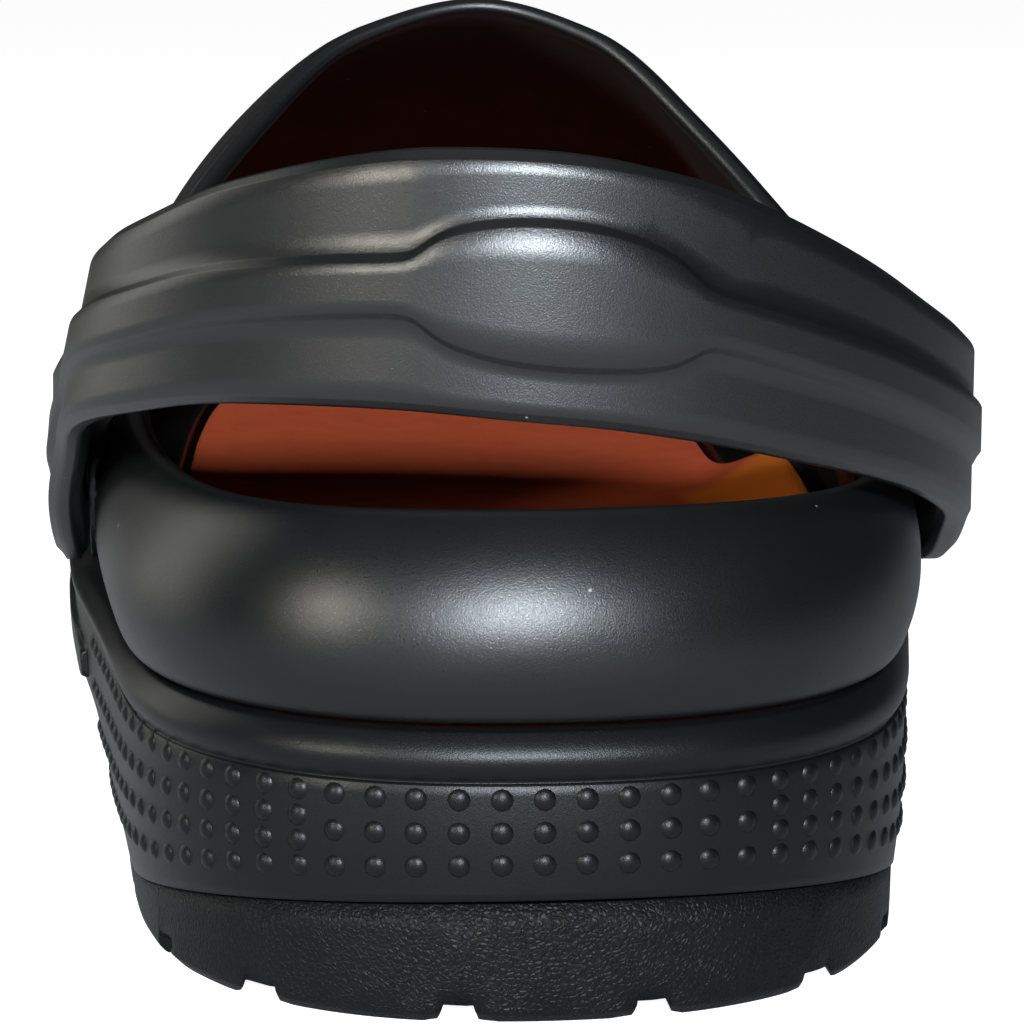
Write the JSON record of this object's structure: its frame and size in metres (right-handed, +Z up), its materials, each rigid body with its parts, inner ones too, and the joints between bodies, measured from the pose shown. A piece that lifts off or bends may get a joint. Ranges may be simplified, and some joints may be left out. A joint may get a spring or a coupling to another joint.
{
  "type": "clog",
  "caption": "Left foam chef clog with a rounded heel counter, open collar, orange footbed, heel strap on side rivets and a band of round nubs above a grooved tread.",
  "frame": {"origin": "middle of the shoe's footprint box, on the floor", "axes": "+Y from heel to toe, +X towards the inner side of the foot, +Z up"},
  "size_m": [0.104, 0.2852, 0.0904],
  "materials": {
    "black_foam": "soft satin closed-cell foam",
    "strap_foam": "soft satin closed-cell foam",
    "sole_foam": "soft satin closed-cell foam",
    "tread_rubber": "matt, with a leather-like grain",
    "insole_fabric": "matt nap over a foam footbed",
    "rivet_plastic": "satin"
  },
  "bodies": {
    "root": {"outsole": "tread_rubber", "midsole": "sole_foam", "upper": "black_foam", "insole": "insole_fabric", "heel_strap": "strap_foam", "rivet_outer_side": "rivet_plastic", "rivet_inner_side": "rivet_plastic"}
  },
  "joints": []
}
